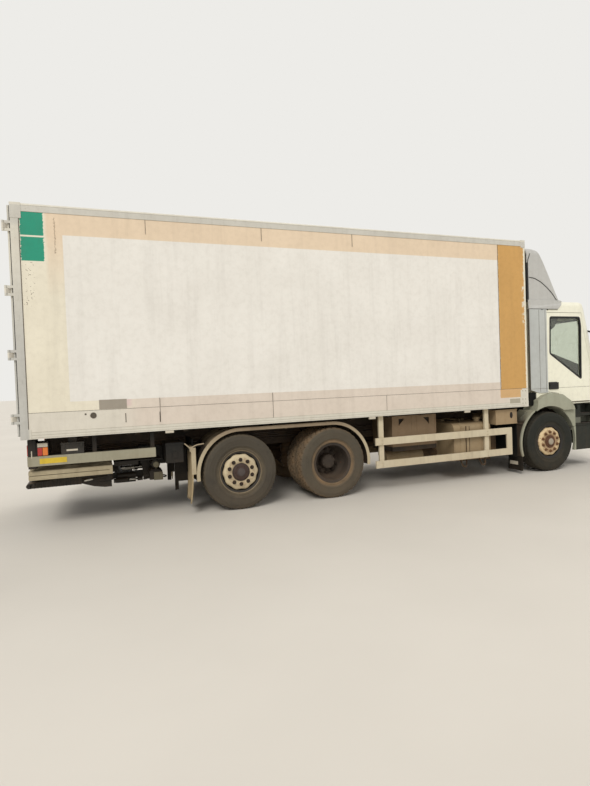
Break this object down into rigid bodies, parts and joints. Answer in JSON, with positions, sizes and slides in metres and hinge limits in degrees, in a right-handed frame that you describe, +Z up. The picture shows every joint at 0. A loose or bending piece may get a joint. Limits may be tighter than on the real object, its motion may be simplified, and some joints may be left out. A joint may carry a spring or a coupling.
{
  "type": "refrigerated truck",
  "caption": "Rigid truck with an insulated box body, nose-mounted cooling unit, tilting day cab, rear barn doors and a slide-under tail lift.",
  "frame": {"origin": "on the ground at the middle of the truck's length and width", "axes": "+X forward, +Y to the truck's left, +Z up"},
  "size_m": [9.772, 2.86, 3.985],
  "materials": {
    "frame_black": "satin, dusty",
    "box_cream": "gloss, chalked",
    "edge_metal": "brushed, dull",
    "cab_paint": "gloss, dusty",
    "fairing_paint": "gloss, dusty",
    "grey_plastic": "moulded, matt",
    "guard_paint": "satin, dusty",
    "box_plastic": "matt, dusty",
    "tank_metal": "dull, dusty",
    "flap_rubber": "matt, dusty",
    "tyre_rubber": "matt, dusty",
    "wheel_paint": "satin, rusted",
    "drive_wheel_paint": "satin, dirty",
    "lamp_lens": "clear, moulded",
    "glass": "clear",
    "cab_trim": "grained",
    "bright_steel": "zinc plated",
    "unit_white": "gloss",
    "lift_black": "satin, greasy",
    "platform_metal": "dull, dusty",
    "mirror_black": "matt"
  },
  "bodies": {
    "chassis": {"frame_rails": "frame_black", "driveline": "frame_black", "axles": "frame_black", "tanks": "tank_metal", "side_boxes": "box_plastic", "side_guards": "guard_paint", "mudguards": "grey_plastic", "mud_flaps": "flap_rubber", "front_bumper": "grey_plastic", "entry_steps": "grey_plastic", "lamps": "lamp_lens", "light_beam": "guard_paint", "box_bearers": "frame_black", "box_floor": "edge_metal", "box_side_walls": "box_cream", "box_front_wall": "box_cream", "box_roof": "box_cream", "box_edge_rails": "edge_metal", "rear_frame": "edge_metal", "fridge_unit": "unit_white", "lift_rails": "lift_black"},
    "rear_door_right": {"rear_door_right": "box_cream", "lock_rods_right": "bright_steel"},
    "rear_door_left": {"rear_door_left": "box_cream", "lock_rods_left": "bright_steel"},
    "lift_carriage": {"lift_carriage": "lift_black"},
    "lift_arms": {"lift_arms": "lift_black"},
    "lift_platform": {"lift_platform": "platform_metal"},
    "cab": {"cab_floor": "cab_trim", "cab_sides": "cab_paint", "cab_rear_wall": "cab_paint", "cab_roof": "cab_paint", "cab_front": "cab_paint", "windscreen": "glass", "roof_deflector": "fairing_paint", "side_fairings": "fairing_paint", "cab_mudguards": "grey_plastic", "cab_interior": "cab_trim", "mirrors": "mirror_black"},
    "cab_door_right": {"cab_door_right": "cab_paint", "door_glass_right": "glass"},
    "cab_door_left": {"cab_door_left": "cab_paint", "door_glass_left": "glass"},
    "knuckle_right": {"knuckle_right": "frame_black"},
    "knuckle_left": {"knuckle_left": "frame_black"},
    "wheel_front_right": {"wheel_front_right": "wheel_paint", "tyre_front_right": "tyre_rubber"},
    "wheel_front_left": {"wheel_front_left": "wheel_paint", "tyre_front_left": "tyre_rubber"},
    "wheel_tag_right": {"wheel_tag_right": "wheel_paint", "tyre_tag_right": "tyre_rubber"},
    "wheel_tag_left": {"wheel_tag_left": "wheel_paint", "tyre_tag_left": "tyre_rubber"},
    "wheel_drive_right": {"wheel_drive_right": "drive_wheel_paint", "tyres_drive_right": "tyre_rubber"},
    "wheel_drive_left": {"wheel_drive_left": "drive_wheel_paint", "tyres_drive_left": "tyre_rubber"}
  },
  "joints": [
    {"name": "steer_right", "type": "hinge", "parent": "chassis", "child": "knuckle_right", "pos_m": [3.485, -0.94, 0.522], "axis": [0, 0, 1], "range_deg": [-35, 35]},
    {"name": "roll_front_right", "type": "hinge", "parent": "knuckle_right", "child": "wheel_front_right", "pos_m": [3.485, -1.1, 0.522], "axis": [0, 1, 0], "continuous": true},
    {"name": "roll_drive_right", "type": "hinge", "parent": "chassis", "child": "wheel_drive_right", "pos_m": [-0.715, -1.1, 0.522], "axis": [0, 1, 0], "continuous": true},
    {"name": "roll_tag_right", "type": "hinge", "parent": "chassis", "child": "wheel_tag_right", "pos_m": [-2.115, -1.1, 0.522], "axis": [0, 1, 0], "continuous": true},
    {"name": "cab_door_right_swing", "type": "hinge", "parent": "cab", "child": "cab_door_right", "pos_m": [4.565, -1.15, 2], "axis": [0, 0, 1], "range_deg": [0, 70]},
    {"name": "rear_door_right_swing", "type": "hinge", "parent": "chassis", "child": "rear_door_right", "pos_m": [-4.883, -1.3, 2.56], "axis": [0, 0, 1], "range_deg": [0, 270]},
    {"name": "steer_left", "type": "hinge", "parent": "chassis", "child": "knuckle_left", "pos_m": [3.485, 0.94, 0.522], "axis": [0, 0, 1], "range_deg": [-35, 35]},
    {"name": "roll_front_left", "type": "hinge", "parent": "knuckle_left", "child": "wheel_front_left", "pos_m": [3.485, 1.1, 0.522], "axis": [0, 1, 0], "continuous": true},
    {"name": "roll_drive_left", "type": "hinge", "parent": "chassis", "child": "wheel_drive_left", "pos_m": [-0.715, 1.1, 0.522], "axis": [0, 1, 0], "continuous": true},
    {"name": "roll_tag_left", "type": "hinge", "parent": "chassis", "child": "wheel_tag_left", "pos_m": [-2.115, 1.1, 0.522], "axis": [0, 1, 0], "continuous": true},
    {"name": "cab_door_left_swing", "type": "hinge", "parent": "cab", "child": "cab_door_left", "pos_m": [4.565, 1.15, 2], "axis": [0, 0, -1], "range_deg": [0, 70]},
    {"name": "rear_door_left_swing", "type": "hinge", "parent": "chassis", "child": "rear_door_left", "pos_m": [-4.883, 1.3, 2.56], "axis": [0, 0, -1], "range_deg": [0, 270]},
    {"name": "cab_tilt", "type": "hinge", "parent": "chassis", "child": "cab", "pos_m": [4.635, 0, 0.8], "axis": [0, 1, 0], "range_deg": [0, 55]},
    {"name": "lift_slide", "type": "slide", "parent": "chassis", "child": "lift_carriage", "axis": [-1, 0, 0], "range_m": [0, 0.95]},
    {"name": "lift_lower", "type": "hinge", "parent": "lift_carriage", "child": "lift_arms", "pos_m": [-3.265, 0, 0.5], "axis": [0, -1, 0], "range_deg": [0, 50]},
    {"name": "platform_level", "type": "hinge", "parent": "lift_arms", "child": "lift_platform", "pos_m": [-3.815, 0, 0.5], "axis": [0, -1, 0], "range_deg": [-50, 0]}
  ],
  "couplings": [
    {"joint": "steer_left", "follows": "steer_right", "ratio": 1},
    {"joint": "platform_level", "follows": "lift_lower", "ratio": -1}
  ]
}
